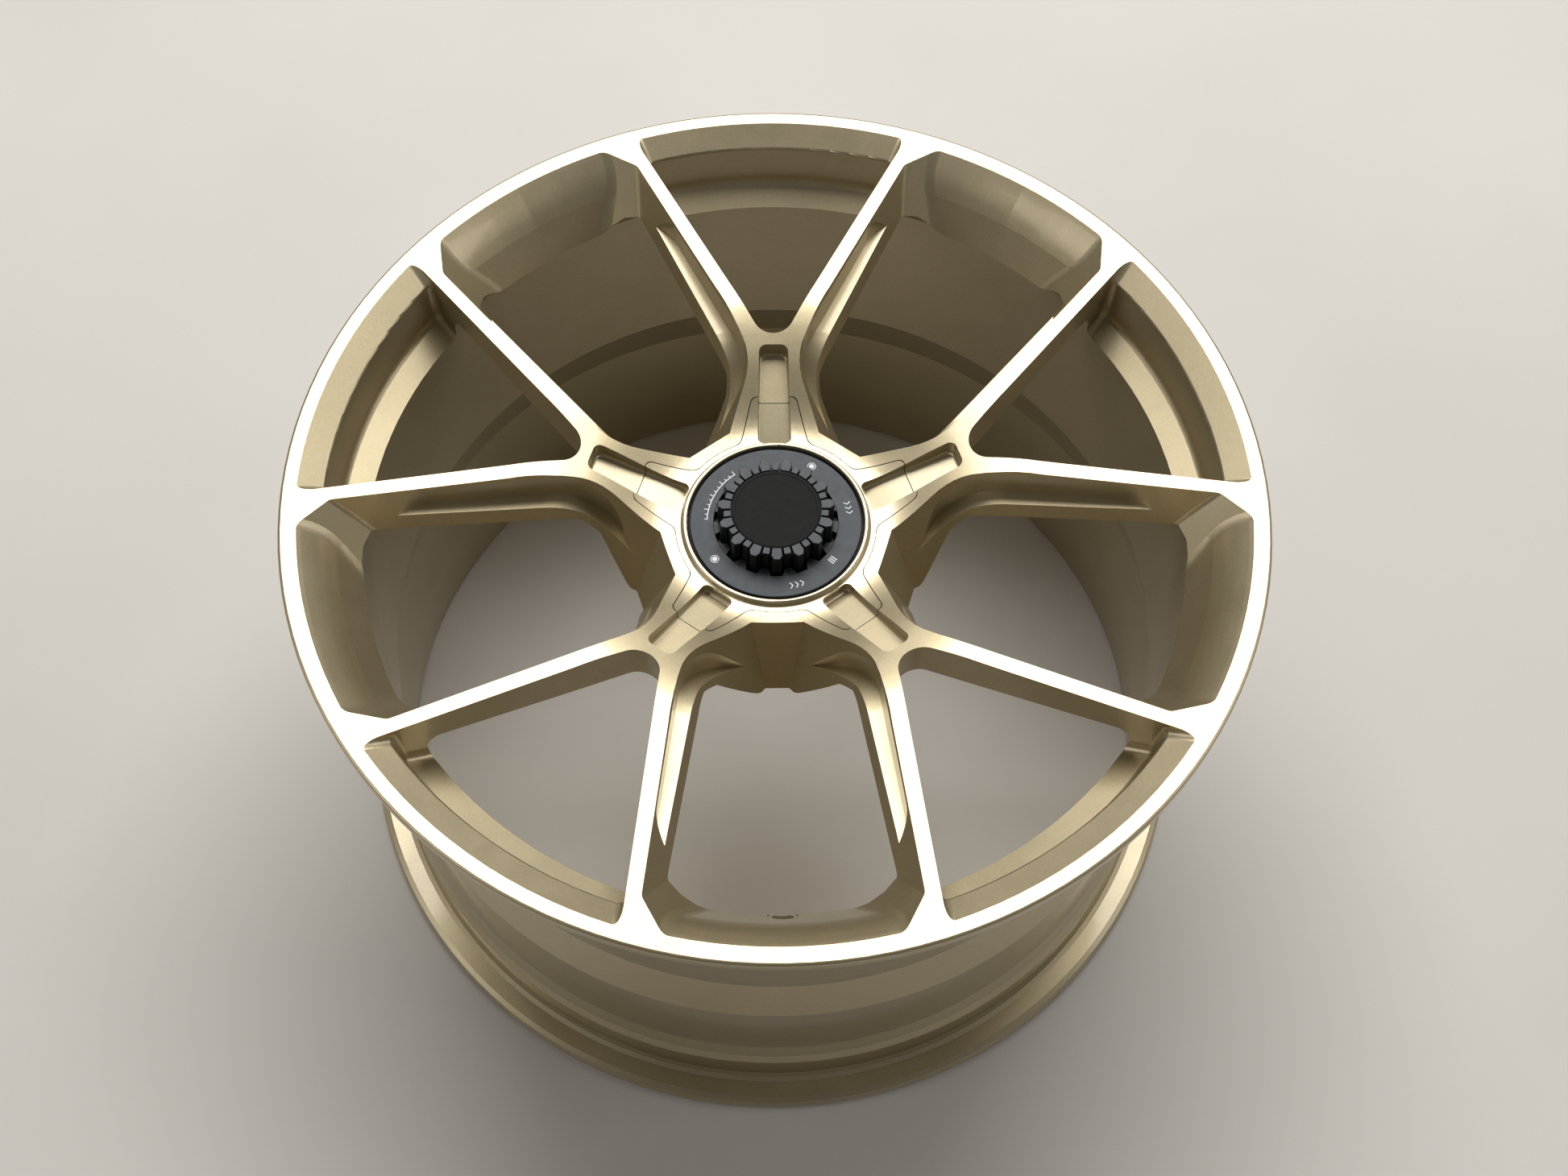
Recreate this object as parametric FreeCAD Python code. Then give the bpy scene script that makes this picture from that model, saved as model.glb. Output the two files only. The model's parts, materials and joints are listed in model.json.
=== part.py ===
import FreeCAD, Part
import math
import os

os.makedirs("parts", exist_ok=True)
V = FreeCAD.Vector
ORIGIN = V(0, 0, 0)
UP = V(0, 0, 1)

# ---- overall wheel (mm), rear flange plane at z = 0, outboard side up ----
WIDTH = 300.0            # over both flanges
R_FLANGE = 271.5         # outer radius of both flanges
R_SEAT = 253.0           # bead seat at the flange
R_WELL = 238.0           # outside of the drop centre
R_INNER = 232.5          # inside of the barrel at the front
ARMS = 5
ARM_ANGLES = [90.0 + 72.0 * i for i in range(ARMS)]
GAP_ANGLES = [54.0 + 72.0 * i for i in range(ARMS)]

# ---- hub ----
PAD_DEPTH = 87.0         # outboard lip plane to the mounting pad
R_BORE = 35.8            # centre bore
PCD = 130.0
R_LUG = 7.5
R_LUG_SEAT = 14.0
RECESS_DEPTH = 60.0      # floor of the star recess
COLLAR_DEPTH = 68.0      # floor of the collar counterbore
R_FACE_END = 269.7       # where the spoke face runs into the flange's edge
R_CREASE = 5.0           # between a spoke's side and a big window's corner plane
R_BIG_END = 10.0         # between that plane and the concave wall
R_SMALL_END = 4.0        # ends of the small windows under the lip
SPIGOT_DEPTH = 75.5      # floor of the pocket for the collar's spigot
R_SPIGOT = 37.8
R_COLLAR = 47.0
SCREW_CIRCLE = 42.0
DOWEL_CIRCLE = 54.5
DOWEL_ANGLES = (54.0, 198.0)

# ---- spoke face: cone outside, spline into the hub ----
CONE_APEX = 29.2         # depth of the extended cone on the axis
CONE_SLOPE = 0.1061
FACE_POINTS = (
    (40.0, 44.2),
    (50.0, 44.0),
    (57.0, 43.4),
    (64.5, 42.2),
    (73.0, 39.4),
    (82.0, 35.4),
    (98.0, 27.6),
    (117.0, 20.2),
    (136.0, 14.9),
)

# ---- big windows, in a frame whose u axis is the window's own radius ----
DRAFT = 0.42             # sideways millimetres per millimetre of depth
HUB_WALL_U = 64.5        # hub wall where it meets the face
HUB_WALL_DEPTH = 42.3
SIDE_V = 53.7            # side wall line at lip level
SIDE_SLOPE = 0.0731
DIAG_OFFSET = 31.9       # slanted hub corner, distance along its normal
CORNER_OFFSET = 184.5    # slanted lip corner, distance along its normal
CORNER_DRAFT = 0.785

# ---- small windows ----
NARROW_SLOPE = 0.5722
NARROW_START = 59.24
NARROW_APEX_R = 13.0

# ---- star cover and lock ----
R_STAR = 57.6            # cover between its arms
STAR_GAP = 0.45
R_COVER_HOLE = 50.5
R_NUT = 49.0
R_CROWN = 33.0
LUGS = 15
NUT_TOP = 41.3           # depth of the flange face
CROWN_TOP = 27.1
R_THREAD = 30.0
RING_BASE = 47.0         # underside of the index ring
COVER_LEDGE = 55.0       # ledge of the cover under the nut
R_COLLAR_TUBE = 37.0
R_SLEEVE = 24.4
DOWEL_R = 2.0
R_VALVE = 5.65
INK = 0.2


def level(depth):
    return WIDTH - depth


def face_depth(r):
    return CONE_APEX - CONE_SLOPE * r


def polar(r, deg, z=0.0):
    a = math.radians(deg)
    return V(r * math.cos(a), r * math.sin(a), z)


def turned(shape, deg):
    copy = shape.copy()
    copy.rotate(ORIGIN, UP, deg)
    return copy


def rounded_edges(points, radii):
    """Closed outline through the points, each corner rounded by its radius."""
    n = len(points)
    starts = []
    ends = []
    mids = []
    for i in range(n):
        p = points[i]
        radius = radii[i]
        if radius <= 0:
            starts.append(p)
            ends.append(p)
            mids.append(None)
            continue
        a = (points[i - 1] - p).normalize()
        b = (points[(i + 1) % n] - p).normalize()
        half = a.getAngle(b) / 2.0
        reach = radius / math.tan(half)
        centre = p + (a + b).normalize() * (radius / math.sin(half))
        starts.append(p + a * reach)
        ends.append(p + b * reach)
        mids.append(centre + (p - centre).normalize() * radius)
    edges = []
    for i in range(n):
        if mids[i] is not None:
            edges.append(Part.Arc(starts[i], mids[i], ends[i]).toShape())
        nxt = (i + 1) % n
        if (ends[i] - starts[nxt]).Length > 1e-6:
            edges.append(Part.makeLine(ends[i], starts[nxt]))
    return edges


def rounded_wire(points, radii):
    return Part.Wire(Part.__sortEdges__(rounded_edges(points, radii)))


def prism(points, radii, z0, z1):
    base = [V(p[0], p[1], z0) for p in points]
    face = Part.Face(rounded_wire(base, radii))
    return face.extrude(V(0, 0, z1 - z0))


def spin(points, radii=None):
    """Solid of revolution from (radius, z) points in the XZ plane."""
    base = [V(p[0], 0, p[1]) for p in points]
    if radii is None:
        radii = [0.0] * len(base)
    face = Part.Face(rounded_wire(base, radii))
    return face.revolve(ORIGIN, UP, 360)


def spin_edges(edges):
    face = Part.Face(Part.Wire(Part.__sortEdges__(edges)))
    return face.revolve(ORIGIN, UP, 360)


def chain(points):
    return [Part.makeLine(points[i], points[i + 1]) for i in range(len(points) - 1)]


def curve(points):
    spline = Part.BSplineCurve()
    spline.interpolate(points)
    return spline.toShape()


def ring(r_in, r_out, z0, z1):
    outer = Part.makeCylinder(r_out, z1 - z0, V(0, 0, z0))
    return outer.cut(Part.makeCylinder(r_in, z1 - z0 + 2, V(0, 0, z0 - 1)))


def rod(r, x, y, z0, z1):
    return Part.makeCylinder(r, z1 - z0, V(x, y, z0))


def tilted_box(origin, normal, size, depth):
    """Block whose face through origin has the given normal; it lies on the normal's side."""
    block = Part.makeBox(size, size, depth, V(-size / 2, -size / 2, 0))
    block.Placement = FreeCAD.Placement(origin, FreeCAD.Rotation(UP, normal))
    return block


# ---------------------------------------------------------------- face profile
def face_edges(r_start):
    """Edges of the spoke face from r_start out to the lip."""
    inner = [V(r, 0, level(d)) for r, d in FACE_POINTS if r >= r_start]
    hub = curve(inner + [V(150.0, 0, level(face_depth(150.0)))])
    outer = Part.makeLine(V(150.0, 0, level(face_depth(150.0))), V(R_FACE_END, 0, level(face_depth(R_FACE_END))))
    return [hub, outer]


def rim_body():
    inner_r = FACE_POINTS[0][0]
    top = face_edges(inner_r)
    lip_start = V(R_FACE_END, 0, level(face_depth(R_FACE_END)))
    lip_round = Part.Arc(lip_start, V(271.0, 0, level(1.2)), V(R_FLANGE, 0, level(2.7))).toShape()
    outside = chain([
        V(R_FLANGE, 0, level(2.7)),
        V(R_FLANGE, 0, level(7.0)),
        V(269.5, 0, level(9.4)),
        V(266.0, 0, level(10.4)),
        V(257.5, 0, level(10.4)),
        V(254.6, 0, level(11.2)),
        V(R_SEAT, 0, level(13.8)),
        V(251.4, 0, level(32.0)),
        V(252.6, 0, level(34.0)),
        V(252.9, 0, level(36.0)),
        V(252.2, 0, level(38.0)),
        V(250.2, 0, level(41.0)),
        V(R_WELL + 5.0, 0, level(50.5)),
        V(R_WELL, 0, level(66.0)),
        V(R_WELL, 0, 150.0),
        V(247.0, 0, 122.0),
        V(247.0, 0, 52.0),
        V(250.2, 0, 43.0),
        V(252.9, 0, 38.5),
        V(252.9, 0, 35.5),
        V(251.4, 0, 32.0),
        V(R_SEAT, 0, 13.8),
        V(254.6, 0, 11.2),
        V(257.5, 0, 10.4),
        V(267.0, 0, 10.4),
        V(270.0, 0, 8.6),
        V(R_FLANGE, 0, 6.4),
        V(R_FLANGE, 0, 3.4),
        V(270.6, 0, 1.0),
        V(268.0, 0, 0.0),
        V(247.0, 0, 0.0),
        V(244.5, 0, 2.5),
        V(241.5, 0, 45.0),
        V(241.0, 0, 118.0),
        V(R_INNER, 0, 150.0),
        V(R_INNER, 0, level(35.0)),
        V(230.6, 0, level(29.5)),
        V(226.0, 0, level(26.9)),
        V(120.0, 0, level(46.0)),
        V(111.0, 0, level(48.6)),
        V(101.0, 0, level(57.0)),
        V(88.0, 0, level(PAD_DEPTH - 1.5)),
        V(86.5, 0, level(PAD_DEPTH)),
        V(inner_r - 8.0, 0, level(PAD_DEPTH)),
        V(inner_r - 8.0, 0, level(FACE_POINTS[0][1])),
        V(inner_r, 0, level(FACE_POINTS[0][1])),
    ])
    return spin_edges(top + [lip_round] + outside)


# ---------------------------------------------------------------- windows
def big_lines(depth):
    """Corner points of half of the big window at one depth, from the hub outwards."""
    hub_u = HUB_WALL_U + DRAFT * (depth - HUB_WALL_DEPTH)
    diag = -DIAG_OFFSET + DRAFT * (34.6 - depth)
    side_v = SIDE_V - DRAFT * depth
    nu, nv = -0.704, 0.710
    v_hub = (diag - nu * hub_u) / nv
    u_side = (diag - nv * side_v) / (nu + nv * SIDE_SLOPE)
    far_u = 300.0
    return [
        (hub_u, v_hub),
        (u_side, side_v + SIDE_SLOPE * u_side),
        (far_u, side_v + SIDE_SLOPE * far_u),
    ]


def big_prism():
    wires = []
    for depth in (-8.0, 100.0):
        half = big_lines(depth)
        pts = half + [(u, -v) for u, v in reversed(half)]
        corners = [V(u, v, level(depth)) for u, v in pts]
        wires.append(Part.makePolygon(corners + [corners[0]]))
    block = Part.makeLoft(wires, True, True)
    elbow = []
    for edge in block.Edges:
        first = edge.Vertexes[0].Point
        last = edge.Vertexes[-1].Point
        upright = abs(first.z - last.z) > 50
        if upright and max(first.x, last.x) < 200 and max(abs(first.y), abs(last.y)) > 45:
            elbow.append(edge)
    return block.makeFillet(40.0, elbow)


def big_core():
    """Space swept by the concave wall under the lip."""
    pts = [
        (263.4, WIDTH + 6.0),
        (263.4, level(0.0)),
        (249.6, level(10.4)),
        (231.9, level(41.2)),
        (231.9, 150.0),
        (0.0, 150.0),
        (0.0, WIDTH + 6.0),
    ]
    return spin(pts, [0, 0, 60.0, 0, 0, 0, 0])


def small_core():
    """Space swept by the sloped band, the wall and the ledge under the lip."""
    pts = [
        (265.1, WIDTH + 6.0),
        (265.1, level(0.0)),
        (249.4, level(9.2)),
        (247.6, level(36.6)),
        (231.9, level(44.4)),
        (231.9, 150.0),
        (0.0, 150.0),
        (0.0, WIDTH + 6.0),
    ]
    return spin(pts, [0, 1.5, 2.0, 5.0, 0, 0, 0, 0])


def window_ends(block):
    """Edges of a window cutter where its flat sides meet the turned faces under the lip."""
    found = []
    for edge in block.Edges:
        box = edge.BoundBox
        if box.XMin < 200 or box.ZLength < 0.5 or min(abs(box.YMin), abs(box.YMax)) < 20:
            continue
        turned_faces = 0
        for face in block.ancestorsOfType(edge, Part.Face):
            if face.Surface.TypeId not in ("Part::GeomPlane", "Part::GeomBSplineSurface"):
                turned_faces += 1
        if turned_faces == 1:
            found.append(edge)
    return found


def big_cutter(core):
    block = big_prism()
    nu, nv = 0.523, 0.852
    for sign in (1, -1):
        base = V(CORNER_OFFSET * nu, sign * CORNER_OFFSET * nv, level(0.0))
        normal = V(nu, sign * nv, -CORNER_DRAFT).normalize()
        block = block.cut(tilted_box(base, normal, 900.0, 300.0))
    creases = []
    for edge in block.Edges:
        box = edge.BoundBox
        if box.ZLength > 60 and box.XMin > 120 and abs(box.YMax + box.YMin) > 60 and box.XLength > 20:
            creases.append(edge)
    block = block.makeFillet(R_CREASE, creases).common(core)
    return block.makeFillet(R_BIG_END, window_ends(block))


def small_cutter(core):
    far = 300.0
    apex = NARROW_START / NARROW_SLOPE
    v_far = -NARROW_START + NARROW_SLOPE * far
    pts = [(apex, 0.0), (far, v_far), (far, -v_far)]
    block = prism(pts, [NARROW_APEX_R, 0, 0], 150.0, WIDTH + 6.0).common(core)
    return block.makeFillet(R_SMALL_END, window_ends(block))


def flute_cutter():
    """Long side groove of a big window: vertical wall, ledge that falls towards the hub."""
    side = 41.0
    slope = 0.119
    end_u = 215.0
    pts = [
        (79.2, 9.0),
        (84.0, 37.8),
        (99.0, side + slope * 99.0),
        (end_u, side + slope * end_u),
        (end_u, 18.0),
        (125.0, 6.0),
    ]
    block = prism(pts, [0, 24.0, 34.0, 27.0, 0, 0], level(85.0), WIDTH + 6.0)
    below = spin([
        (60.0, level(78.5)),
        (82.4, level(63.5)),
        (120.0, level(38.3)),
        (230.0, level(18.0)),
        (230.0, level(95.0)),
        (60.0, level(95.0)),
    ], [0, 0, 60.0, 0, 0, 0])
    return block.cut(below)


def arm_pocket_cutter():
    pts = [(54.4, -9.9), (110.2, -8.5), (110.2, 8.5), (54.4, 9.9)]
    block = prism(pts, [3.5, 4.5, 4.5, 3.5], level(70.0), WIDTH)
    floor = tilted_box(V(55.0, 0, level(50.5)), V(0.303, 0, -0.953), 400.0, 200.0)
    block = block.cut(floor)
    bottom = [e for e in block.Edges if e.BoundBox.ZMax < level(28.0)]
    return block.makeFillet(1.8, bottom)


def star_block(gap, z0, z1):
    r_mid = R_STAR - gap
    block = Part.makeCylinder(r_mid, z1 - z0, V(0, 0, z0))
    tip = 81.8 - gap
    half_tip = 13.3 - gap
    half_root = half_tip + 0.245 * (tip - 30.0)
    for a in ARM_ANGLES:
        pts = [(30.0, -half_root), (tip, -half_tip), (tip, half_tip), (30.0, half_root)]
        block = block.fuse(turned(prism(pts, [0, 0, 0, 0], z0, z1), a))
    block = block.removeSplitter()
    tips = []
    roots = []
    for edge in block.Edges:
        box = edge.BoundBox
        if box.ZLength < (z1 - z0) * 0.9 or box.XLength > 0.01 or box.YLength > 0.01:
            continue
        r = math.hypot(edge.Vertexes[0].X, edge.Vertexes[0].Y)
        if r > 70.0:
            tips.append(edge)
        elif abs(r - r_mid) < 0.5:
            roots.append(edge)
    block = block.makeFillet(4.2, tips)
    roots = [e for e in block.Edges if e.BoundBox.ZLength > (z1 - z0) * 0.9
             and e.BoundBox.XLength < 0.01 and e.BoundBox.YLength < 0.01
             and abs(math.hypot(e.Vertexes[0].X, e.Vertexes[0].Y) - r_mid) < 0.5]
    return block.makeFillet(7.0, roots)


def hub_cutters():
    """Bore, collar seat, lug holes, screw holes and dowel holes."""
    floor = level(RECESS_DEPTH)
    pad = level(PAD_DEPTH)
    cuts = [
        rod(R_BORE, 0, 0, pad - 1.0, floor + 1.0),
        rod(R_COLLAR, 0, 0, level(COLLAR_DEPTH), floor + 1.0),
        rod(R_SPIGOT, 0, 0, level(SPIGOT_DEPTH), floor + 1.0),
        Part.makeCone(R_BORE + 1.5, R_BORE, 1.5, V(0, 0, pad)),
    ]
    for a in ARM_ANGLES:
        p = polar(PCD / 2, a)
        cuts.append(rod(R_LUG, p.x, p.y, pad - 1.0, floor + 1.0))
        cuts.append(Part.makeSphere(R_LUG_SEAT, V(p.x, p.y, floor + 2.0)))
    for a in GAP_ANGLES:
        p = polar(SCREW_CIRCLE, a)
        cuts.append(rod(2.55, p.x, p.y, level(83.0), floor))
    for a in DOWEL_ANGLES:
        p = polar(DOWEL_CIRCLE, a)
        cuts.append(rod(DOWEL_R, p.x, p.y, level(RECESS_DEPTH + 6.0), floor + 1.0))
    return cuts


def valve_cutters():
    """Inclined valve hole in the barrel wall of the window at 270 degrees, with a spot face."""
    inward = V(0, math.sin(math.radians(60.0)), math.cos(math.radians(60.0)))
    mouth = V(0, -234.2, level(37.2))
    hole = Part.makeCylinder(R_VALVE, 60.0, mouth - inward * 40.0, inward)
    spot = Part.makeCylinder(8.0, 20.0, mouth - inward * 0.6, inward)
    back = Part.makeCylinder(8.6, 20.0, mouth - inward * 30.6, inward)
    return [hole, spot, back]


# ---------------------------------------------------------------- small parts
def cover_body():
    """Star cover: follows the spoke face, with a raised ring round the lock."""
    top = face_edges(57.0)
    end = V(R_FACE_END, 0, level(face_depth(R_FACE_END)))
    base = level(RECESS_DEPTH - 0.3)
    ring_edges = rounded_edges([
        V(R_COLLAR_TUBE + 0.6, 0, level(60.0)),
        V(R_COLLAR_TUBE + 0.6, 0, level(COVER_LEDGE)),
        V(R_COVER_HOLE, 0, level(COVER_LEDGE)),
        V(R_COVER_HOLE, 0, level(40.2)),
        V(53.0, 0, level(40.2)),
        V(53.9, 0, level(43.4)),
        V(57.0, 0, level(43.4)),
        V(57.0, 0, level(60.0)),
    ], [0, 0, 0, 0.9, 1.3, 0.8, 0, 0])
    face_ring = Part.Face(Part.Wire(Part.__sortEdges__(ring_edges)))
    middle = face_ring.revolve(ORIGIN, UP, 360)
    rest = chain([end, V(R_FACE_END, 0, base - 2.0), V(57.0, 0, base - 2.0), V(57.0, 0, level(43.4))])
    arms = spin_edges(top + rest)
    under_face = middle.fuse(arms).removeSplitter()
    body = star_block(STAR_GAP, base, WIDTH).common(under_face)
    body = body.cut([turned(arm_pocket_cutter(), a) for a in ARM_ANGLES])
    for a in ARM_ANGLES:
        p = polar(PCD / 2, a)
        body = body.cut(rod(12.0, p.x, p.y, base - 1.0, base + 3.5))
    for a in DOWEL_ANGLES:
        p = polar(DOWEL_CIRCLE, a)
        body = body.cut(rod(DOWEL_R + 0.1, p.x, p.y, base - 1.0, base + 6.5))
    return body


def collar_body():
    """Threaded collar: flange on the hub, tube up through the cover, spigot in the bore."""
    body = spin([
        (R_THREAD + 0.06, level(SPIGOT_DEPTH - 0.3)),
        (R_SPIGOT - 0.05, level(SPIGOT_DEPTH - 0.3)),
        (R_SPIGOT - 0.05, level(COLLAR_DEPTH)),
        (R_COLLAR - 0.15, level(COLLAR_DEPTH)),
        (R_COLLAR - 0.15, level(RECESS_DEPTH + 0.2)),
        (R_COLLAR_TUBE, level(RECESS_DEPTH + 0.2)),
        (R_COLLAR_TUBE, level(52.5)),
        (R_THREAD + 0.06, level(52.5)),
    ], [0, 0.6, 0, 0.5, 0.5, 0, 0.8, 0.8])
    for a in GAP_ANGLES:
        p = polar(SCREW_CIRCLE, a)
        body = body.cut(rod(2.7, p.x, p.y, level(80.0), level(55.0)))
        body = body.cut(rod(4.6, p.x, p.y, level(65.6), level(55.0)))
    return body


def screw_body():
    """Socket-head cap screw, head up, seat at z = 0."""
    head = Part.makeCylinder(4.25, 4.6)
    head = head.makeFillet(0.4, [e for e in head.Edges if e.BoundBox.ZMin > 4.5])
    shank = Part.makeCylinder(2.5, 13.0, V(0, 0, -13.0))
    socket = Part.Face(Part.makePolygon([polar(2.3, 60.0 * i, 4.6) for i in range(7)]))
    return head.fuse(shank).removeSplitter().cut(socket.extrude(V(0, 0, -2.6)))


def crown_lug(r_in, r_out, w_in, w_mid, w_out, r_mid, z0, z1):
    pts = [
        (r_in, -w_in / 2),
        (r_mid, -w_mid / 2),
        (r_out, -w_out / 2),
        (r_out, w_out / 2),
        (r_mid, w_mid / 2),
        (r_in, w_in / 2),
    ]
    body = prism(pts, [0, 0.6, 0.6, 0.6, 0.6, 0], z0, z1)
    top = [e for e in body.Edges if e.BoundBox.ZMin > z1 - 0.01 and e.BoundBox.XMax > r_in + 0.5]
    return body.makeChamfer(0.35, top)


def nut_body():
    """Centre nut: castellated crown, web under the index ring and threaded skirt."""
    web_top = level(RING_BASE)
    web_bottom = level(RING_BASE + 3.9)
    body = spin([
        (R_SLEEVE + 0.05, level(74.0)),
        (R_THREAD, level(74.0)),
        (R_THREAD, web_bottom),
        (47.6, web_bottom),
        (47.6, web_top - 0.2),
        (28.6, web_top - 0.2),
        (28.6, level(32.2)),
        (26.2, level(32.2)),
        (26.2, level(30.0)),
        (22.8, level(30.0)),
        (22.8, level(34.2)),
        (R_SLEEVE + 0.05, level(34.2)),
    ], [0.6, 0.8, 0.8, 0.5, 0.5, 0.8, 0.3, 0, 0, 0, 0, 0])
    big_lug = crown_lug(24.0, 33.1, 5.0, 6.5, 3.2, 30.2, web_top - 1.2, level(CROWN_TOP))
    small_lug = crown_lug(24.0, 29.9, 3.6, 4.3, 4.1, 28.0, web_top - 1.2, level(CROWN_TOP + 0.1))
    inside = rod(25.8, 0, 0, 0, WIDTH)
    big_lug = big_lug.cut(inside)
    small_lug = small_lug.cut(inside)
    step = 360.0 / LUGS
    lugs = []
    for i in range(LUGS):
        lugs.append(turned(big_lug, 270.0 + step * i))
        lugs.append(turned(small_lug, 270.0 + step * (i + 0.5)))
    body = body.fuse(lugs)
    groove = ring(R_SLEEVE - 1.0, R_SLEEVE + 1.6, level(72.9), level(71.5))
    return body.cut(groove)


def index_ring_body():
    """Slate ring round the crown, with inward teeth between the crown's big lugs."""
    body = spin([
        (35.4, level(RING_BASE)),
        (R_NUT, level(RING_BASE)),
        (R_NUT, level(NUT_TOP)),
        (35.4, level(NUT_TOP)),
    ], [0, 0.5, 0.6, 0.4])
    pts = [(30.9, -1.8), (34.2, -3.6), (36.2, -4.3), (36.2, 4.3), (34.2, 3.6), (30.9, 1.8)]
    tooth = prism(pts, [0.3, 0, 0, 0, 0, 0.3], level(RING_BASE), level(NUT_TOP + 0.5))
    step = 360.0 / LUGS
    body = body.fuse([turned(tooth, 270.0 + step * (i + 0.5)) for i in range(LUGS)])
    body = body.removeSplitter()
    return body.cut(ring(R_NUT - 1.2, R_NUT + 2, level(45.6), level(43.4)))


def seal_body():
    return spin([
        (R_NUT - 1.2, level(45.6)),
        (R_COVER_HOLE - 0.25, level(45.6)),
        (R_COVER_HOLE - 0.25, level(43.4)),
        (R_NUT - 1.2, level(43.4)),
    ], [0.3, 0.9, 0.9, 0.3])


def washer_body():
    return spin([
        (R_COLLAR_TUBE + 0.6, level(COVER_LEDGE - 0.3)),
        (49.6, level(COVER_LEDGE - 0.3)),
        (49.6, level(RING_BASE + 5.4)),
        (48.4, level(RING_BASE + 4.2)),
        (R_COLLAR_TUBE + 0.6, level(RING_BASE + 4.2)),
    ], [0.4, 0.4, 0.4, 0.4, 0.4])


def sleeve_body():
    """Anti-rotation sleeve with a splined nose, pushed outwards by the spring."""
    body = spin([
        (18.6, level(59.0)),
        (R_SLEEVE, level(59.0)),
        (R_SLEEVE, level(34.5)),
        (18.6, level(34.5)),
    ], [0.5, 0.6, 0.6, 0.5])
    tooth = Part.makeBox(2.4, 2.6, 12.0, V(16.6, -1.3, level(48.5)))
    body = body.fuse([turned(tooth, 24.0 * i) for i in range(LUGS)])
    return body.removeSplitter()


def spring_body():
    """Six conical spring washers in series, between the sleeve and its snap ring."""
    r_in = R_SLEEVE - 2.6
    r_out = R_SLEEVE - 0.55
    low = level(71.4) + 0.05
    height = (level(59.0) - 0.05 - low) / 6.0
    thick = 0.9
    discs = []
    for i in range(6):
        base = low + height * i + 0.01
        rise = height - thick - 0.02
        inner = base if i % 2 == 0 else base + rise
        outer = base + rise if i % 2 == 0 else base
        discs.append(spin([
            (r_in, inner),
            (r_out, outer),
            (r_out, outer + thick),
            (r_in, inner + thick),
        ]))
    return Part.makeCompound(discs)


def snap_ring_body():
    body = ring(R_SLEEVE - 2.6, R_SLEEVE + 1.5, level(72.8), level(71.6))
    gap = Part.makeBox(8.0, 7.0, 6.0, V(R_SLEEVE - 5.0, -3.5, level(75.0)))
    body = body.cut(gap)
    ears = [rod(2.1, R_SLEEVE - 3.2, s * 5.6, level(72.8), level(71.6)) for s in (1, -1)]
    holes = [rod(0.9, R_SLEEVE - 3.2, s * 5.6, level(74.0), level(70.0)) for s in (1, -1)]
    return body.fuse(ears).removeSplitter().cut(holes)


def cap_body():
    """Push-in cap in the mouth of the crown, with a skirt grooved for the wire ring."""
    return spin([
        (0.0, level(29.6)),
        (20.4, level(29.6)),
        (20.4, level(33.9)),
        (22.5, level(33.9)),
        (22.5, level(32.9)),
        (21.6, level(32.9)),
        (21.6, level(31.5)),
        (22.5, level(31.5)),
        (22.5, level(29.8)),
        (25.3, level(29.8)),
        (25.3, level(CROWN_TOP + 0.5)),
        (24.5, level(CROWN_TOP)),
        (23.4, level(CROWN_TOP)),
        (22.8, level(CROWN_TOP + 0.4)),
        (0.0, level(CROWN_TOP + 0.4)),
    ])


def cap_ring_body():
    body = Part.makeTorus(22.2, 0.55, V(0, 0, level(32.2)), UP)
    return body.cut(Part.makeBox(6.0, 5.0, 4.0, V(19.0, -2.5, level(34.0))))


def index_marks_body():
    """Raised paint: a tick scale, direction chevrons and three bars. No lettering."""
    z0 = level(NUT_TOP)
    solids = []
    arc = ring(38.9, 39.5, z0, z0 + INK)
    wedge = Part.Face(Part.makePolygon([V(0, 0, z0), polar(60, 126, z0), polar(60, 146, z0),
                                        polar(60, 166, z0), polar(60, 178, z0), V(0, 0, z0)]))
    scale = arc.common(wedge.extrude(V(0, 0, 1)))
    ticks = []
    for i in range(12):
        a = 126.6 + i * 50.8 / 11.0
        length = 2.6 if i % 3 == 0 else 1.6
        ticks.append(turned(Part.makeBox(length, 0.5, INK, V(39.2, -0.25, z0)), a))
    solids.append(scale.fuse(ticks).removeSplitter())
    for centre, lean in ((16.0, -1), (281.0, 1)):
        for k in range(3):
            a = centre + lean * 4.2 * k
            arm = 1.9
            pts = [(43.6, 0.0), (42.2, arm), (41.5, arm), (42.9, 0.0), (41.5, -arm), (42.2, -arm)]
            chevron = prism(pts, [0, 0, 0, 0, 0, 0], z0, z0 + INK)
            chevron.rotate(V(42.5, 0, z0), UP, 90.0 * lean)
            solids.append(turned(chevron, a))
    for k in (-1, 0, 1):
        bar = Part.makeBox(4.2, 0.7, INK, V(38.4, -0.35, z0))
        solids.append(turned(bar, 321.0 + 2.0 * k))
    for a in (60.0, 215.0):
        solids.append(turned(rod(1.5, 42.4, 0, z0, z0 + INK), a))
        solids.append(turned(ring(2.1, 2.5, 0, INK).translated(V(42.4, 0, z0)), a))
    return Part.makeCompound(solids)


def save(name, shape):
    if shape.ShapeType != "Compound" and shape.ShapeType != "Solid" and len(shape.Solids) == 1:
        shape = shape.Solids[0]
    shape.exportStep("parts/" + name + ".step")
    print(name, shape.isValid(), round(shape.Volume, 1), len(shape.Solids))


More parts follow.
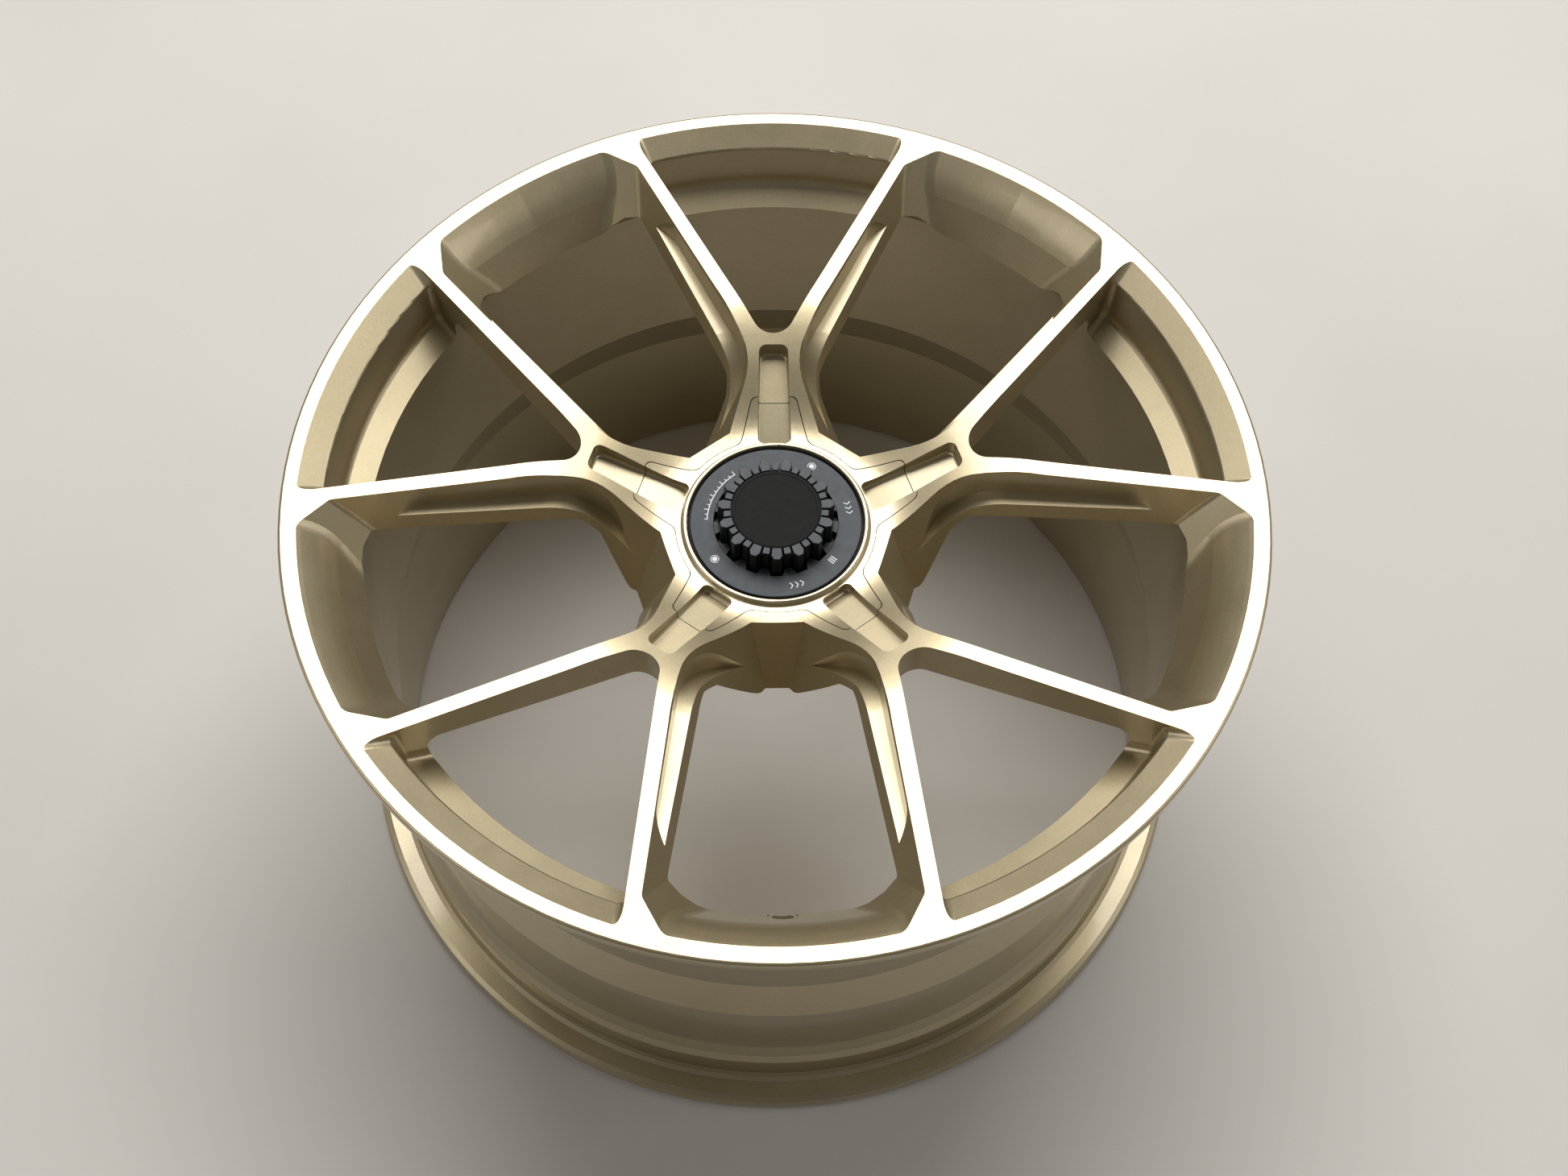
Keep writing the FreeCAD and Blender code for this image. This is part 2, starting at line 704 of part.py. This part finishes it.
def build_rim():
    rim = rim_body()
    big = big_cutter(big_core())
    small = small_cutter(small_core())
    flute = flute_cutter()
    flute_b = flute.mirror(ORIGIN, V(0, 1, 0))
    pocket = arm_pocket_cutter()
    for a in GAP_ANGLES:
        rim = rim.cut([turned(big, a), turned(flute, a), turned(flute_b, a)])
    for a in ARM_ANGLES:
        rim = rim.cut([turned(small, a), turned(pocket, a)])
    rim = rim.cut(star_block(0.0, level(RECESS_DEPTH), WIDTH))
    rim = rim.cut(hub_cutters())
    return rim.cut(valve_cutters())


save("forged_rim", build_rim())
save("star_cover", cover_body())
save("hub_collar", collar_body())
screw = screw_body()
screws = []
for a in GAP_ANGLES:
    screws.append(screw.translated(polar(SCREW_CIRCLE, a, level(65.6))))
save("collar_screws", Part.makeCompound(screws))
dowels = []
for a in DOWEL_ANGLES:
    p = polar(DOWEL_CIRCLE, a)
    dowels.append(rod(DOWEL_R, p.x, p.y, level(RECESS_DEPTH + 6.0), level(RECESS_DEPTH - 6.0)))
save("dowel_pins", Part.makeCompound(dowels))
save("slip_washer", washer_body())
save("lock_nut", nut_body())
save("index_ring", index_ring_body())
save("index_marks", index_marks_body())
save("nut_seal", seal_body())
save("lock_sleeve", sleeve_body())
save("lock_spring", spring_body())
save("snap_ring", snap_ring_body())
save("centre_cap", cap_body())
save("cap_ring", cap_ring_body())
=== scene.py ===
import json

import bpy
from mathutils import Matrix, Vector

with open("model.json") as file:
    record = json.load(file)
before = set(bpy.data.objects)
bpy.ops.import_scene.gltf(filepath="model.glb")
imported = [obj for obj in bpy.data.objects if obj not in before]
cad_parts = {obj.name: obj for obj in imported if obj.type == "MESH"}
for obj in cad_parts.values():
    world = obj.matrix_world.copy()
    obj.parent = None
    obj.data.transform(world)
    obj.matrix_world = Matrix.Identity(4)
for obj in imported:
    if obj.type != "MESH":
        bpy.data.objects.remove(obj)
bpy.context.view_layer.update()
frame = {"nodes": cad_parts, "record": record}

FLOOR_HALF = 6.0
FLOOR_GAP = 0.0005
LIGHT_TARGET = (0, 0, 0.2)
WARM_WHITE = (1.0, 0.97, 0.92)
SOFT_WHITE = (1.0, 0.985, 0.955)


# ---------------------------------------------------------------- materials

class Nodes:
    """A small helper that adds and links shader nodes in one material."""

    def __init__(self, name):
        self.material = bpy.data.materials.new(name)
        self.material.use_nodes = True
        self.tree = self.material.node_tree
        self.shader = self.tree.nodes["Principled BSDF"]
        self.coords = self.add("ShaderNodeTexCoord").outputs["Object"]

    def add(self, kind, **values):
        node = self.tree.nodes.new(kind)
        for key, value in values.items():
            setattr(node, key, value)
        return node

    def link(self, source, target):
        self.tree.links.new(source, target)

    def const(self, **values):
        """Set sockets of the shader, with _ in a name for each space."""
        for key, value in values.items():
            self.shader.inputs[key.replace("_", " ")].default_value = value

    def noise(self, scale, detail=3.0, rough=0.5):
        node = self.add("ShaderNodeTexNoise")
        node.inputs["Scale"].default_value = scale
        node.inputs["Detail"].default_value = detail
        node.inputs["Roughness"].default_value = rough
        self.link(self.coords, node.inputs["Vector"])
        return node.outputs["Fac"]

    def cells(self, scale):
        """A random value in each small cell."""
        node = self.add("ShaderNodeTexVoronoi")
        node.inputs["Scale"].default_value = scale
        self.link(self.coords, node.inputs["Vector"])
        return node.outputs["Color"]

    def remap(self, value, low, high):
        """Stretch a value of 0 to 1 over low to high."""
        node = self.add("ShaderNodeMapRange")
        node.inputs["From Min"].default_value = 0.0
        node.inputs["From Max"].default_value = 1.0
        node.inputs["To Min"].default_value = low
        node.inputs["To Max"].default_value = high
        self.link(value, node.inputs["Value"])
        return node.outputs["Result"]

    def base_colour(self, value, start, dark, end, light):
        """Blend the base colour from dark at start to light at end."""
        node = self.add("ShaderNodeValToRGB")
        first, last = node.color_ramp.elements
        first.position, first.color = start, (*dark, 1)
        last.position, last.color = end, (*light, 1)
        self.link(value, node.inputs["Fac"])
        self.link(node.outputs["Color"], self.shader.inputs["Base Color"])

    def roughness(self, value, low, high):
        self.link(self.remap(value, low, high), self.shader.inputs["Roughness"])

    def bump(self, height, distance, strength):
        node = self.add("ShaderNodeBump")
        node.inputs["Distance"].default_value = distance
        node.inputs["Strength"].default_value = strength
        self.link(height, node.inputs["Height"])
        self.link(node.outputs["Normal"], self.shader.inputs["Normal"])


def flake_paint(name, light, dark, rough):
    """Satin metallic lacquer with fine flake and a faint orange peel."""
    n = Nodes(name)
    n.const(Metallic=0.86, Coat_Weight=0.6, Coat_Roughness=0.08, Coat_IOR=1.5)
    speck = n.remap(n.cells(1400.0), -0.16, 0.16)
    mix = n.add("ShaderNodeMath", operation="ADD")
    n.link(n.noise(9.0, 2.0), mix.inputs[0])
    n.link(speck, mix.inputs[1])
    n.base_colour(mix.outputs[0], 0.2, dark, 0.8, light)
    n.roughness(n.noise(60.0), *rough)
    n.bump(n.noise(420.0, 2.0), 0.00006, 0.5)
    return n.material


def anodised(name, light, dark, rough, metallic):
    """Fine blasted metal, dyed or plain."""
    n = Nodes(name)
    n.const(Metallic=metallic)
    n.base_colour(n.noise(120.0, 4.0), 0.3, dark, 0.7, light)
    n.roughness(n.noise(240.0, 2.0), *rough)
    n.bump(n.noise(900.0, 3.0, 0.6), 0.00004, 0.6)
    return n.material


def turned_metal(name, light, dark, rough):
    """Lathe-turned metal: fine rings about the wheel's axis."""
    n = Nodes(name)
    n.const(Metallic=1.0)
    wave = n.add("ShaderNodeTexWave", wave_type="RINGS", rings_direction="Z")
    wave.inputs["Scale"].default_value = 500.0
    wave.inputs["Distortion"].default_value = 1.5
    n.link(n.coords, wave.inputs["Vector"])
    n.base_colour(n.noise(80.0, 4.0), 0.3, dark, 0.7, light)
    n.roughness(wave.outputs["Fac"], *rough)
    n.bump(wave.outputs["Fac"], 0.00002, 0.4)
    return n.material


def moulded(name, light, dark, rough, grain=700.0, depth=0.00005):
    """Matt rubber, plastic or printed paint with a fine grain."""
    n = Nodes(name)
    n.base_colour(n.noise(150.0), 0.3, dark, 0.7, light)
    n.roughness(n.noise(300.0, 2.0), *rough)
    n.bump(n.noise(grain, 3.0, 0.6), depth, 0.6)
    return n.material


looks = {
    "rim_paint": flake_paint(
        "champagne_paint", (0.56, 0.48, 0.32), (0.45, 0.38, 0.24), (0.36, 0.46)
    ),
    "cover_paint": flake_paint(
        "cover_paint", (0.57, 0.495, 0.34), (0.46, 0.395, 0.255), (0.33, 0.42)
    ),
    "slate_anodise": anodised(
        "slate_anodise", (0.030, 0.037, 0.045), (0.023, 0.029, 0.036), (0.42, 0.54), 0.35
    ),
    "black_anodise": anodised(
        "black_anodise", (0.030, 0.033, 0.037), (0.020, 0.022, 0.025), (0.36, 0.48), 0.5
    ),
    "collar_metal": turned_metal(
        "collar_metal", (0.62, 0.62, 0.63), (0.52, 0.52, 0.53), (0.28, 0.42)
    ),
    "zinc_steel": anodised(
        "zinc_steel", (0.42, 0.42, 0.43), (0.32, 0.32, 0.33), (0.36, 0.5), 1.0
    ),
    "washer_steel": turned_metal(
        "washer_steel", (0.52, 0.52, 0.53), (0.42, 0.42, 0.43), (0.25, 0.38)
    ),
    "spring_steel": anodised(
        "spring_steel", (0.22, 0.22, 0.23), (0.15, 0.15, 0.16), (0.3, 0.45), 1.0
    ),
    "seal_rubber": moulded(
        "seal_rubber", (0.018, 0.018, 0.018), (0.010, 0.010, 0.010), (0.6, 0.75)
    ),
    "cap_plastic": moulded(
        "cap_plastic", (0.004, 0.004, 0.0045), (0.002, 0.002, 0.0025), (0.82, 0.92)
    ),
    "mark_paint": moulded(
        "mark_paint", (0.82, 0.85, 0.88), (0.72, 0.76, 0.80), (0.5, 0.65), 1200.0, 0.00001
    ),
}
slots = {row["node"]: row["material_slot"] for row in frame["record"]["subparts"]}
for node, piece in frame["nodes"].items():
    look = looks[slots[node]]
    if not piece.data.materials:
        piece.data.materials.append(look)
    for slot in piece.material_slots:
        slot.material = look


# ---------------------------------------------------------------- stage

def floor_material():
    """Pale, matt and slightly uneven in tone."""
    n = Nodes("floor")
    n.const(Roughness=0.75)
    n.base_colour(n.noise(3.0, 4.0), 0.3, (0.62, 0.60, 0.57), 0.7, (0.66, 0.64, 0.61))
    return n.material


def flat_floor():
    corners = [(-1, -1), (1, -1), (1, 1), (-1, 1)]
    mesh = bpy.data.meshes.new("floor")
    mesh.from_pydata([(x * FLOOR_HALF, y * FLOOR_HALF, 0) for x, y in corners], [], [(0, 1, 2, 3)])
    floor = bpy.data.objects.new("floor", mesh)
    floor.data.materials.append(floor_material())
    floor.location.z = -FLOOR_GAP
    bpy.context.collection.objects.link(floor)
    return floor


def area_light(name, place, size, power, colour):
    """A rectangular light at place that points at the wheel."""
    data = bpy.data.lights.new(name, "AREA")
    data.shape = "RECTANGLE"
    data.size, data.size_y = size
    data.energy = power
    data.color = colour
    light = bpy.data.objects.new(name, data)
    light.location = place
    direction = Vector(LIGHT_TARGET) - Vector(place)
    light.rotation_euler = direction.to_track_quat("-Z", "Y").to_euler()
    bpy.context.collection.objects.link(light)


floor = flat_floor()

area_light("key", (0.1, 1.5, 2.7), (2.8, 1.6), 98, SOFT_WHITE)
area_light("fill_left", (-2.4, -0.6, 1.9), (1.6, 1.6), 14, WARM_WHITE)
area_light("fill_right", (2.4, -0.2, 1.7), (1.4, 1.4), 12, WARM_WHITE)

world = bpy.data.worlds.new("world")
world.use_nodes = True
background = world.node_tree.nodes["Background"]
background.inputs["Color"].default_value = (*WARM_WHITE, 1)
background.inputs["Strength"].default_value = 0.11
bpy.context.scene.world = world


# ---------------------------------------------------------------- camera

camera = bpy.data.objects.new("camera", bpy.data.cameras.new("camera"))
camera.data.lens = 41.58
camera.data.sensor_width = 36.0
camera.location = (-0.0156, -0.5261, 1.1459)
camera.rotation_euler = (0.49862, -0.01288, -0.01669)
bpy.context.collection.objects.link(camera)
bpy.context.scene.camera = camera
bpy.context.scene.view_settings.view_transform = "Standard"
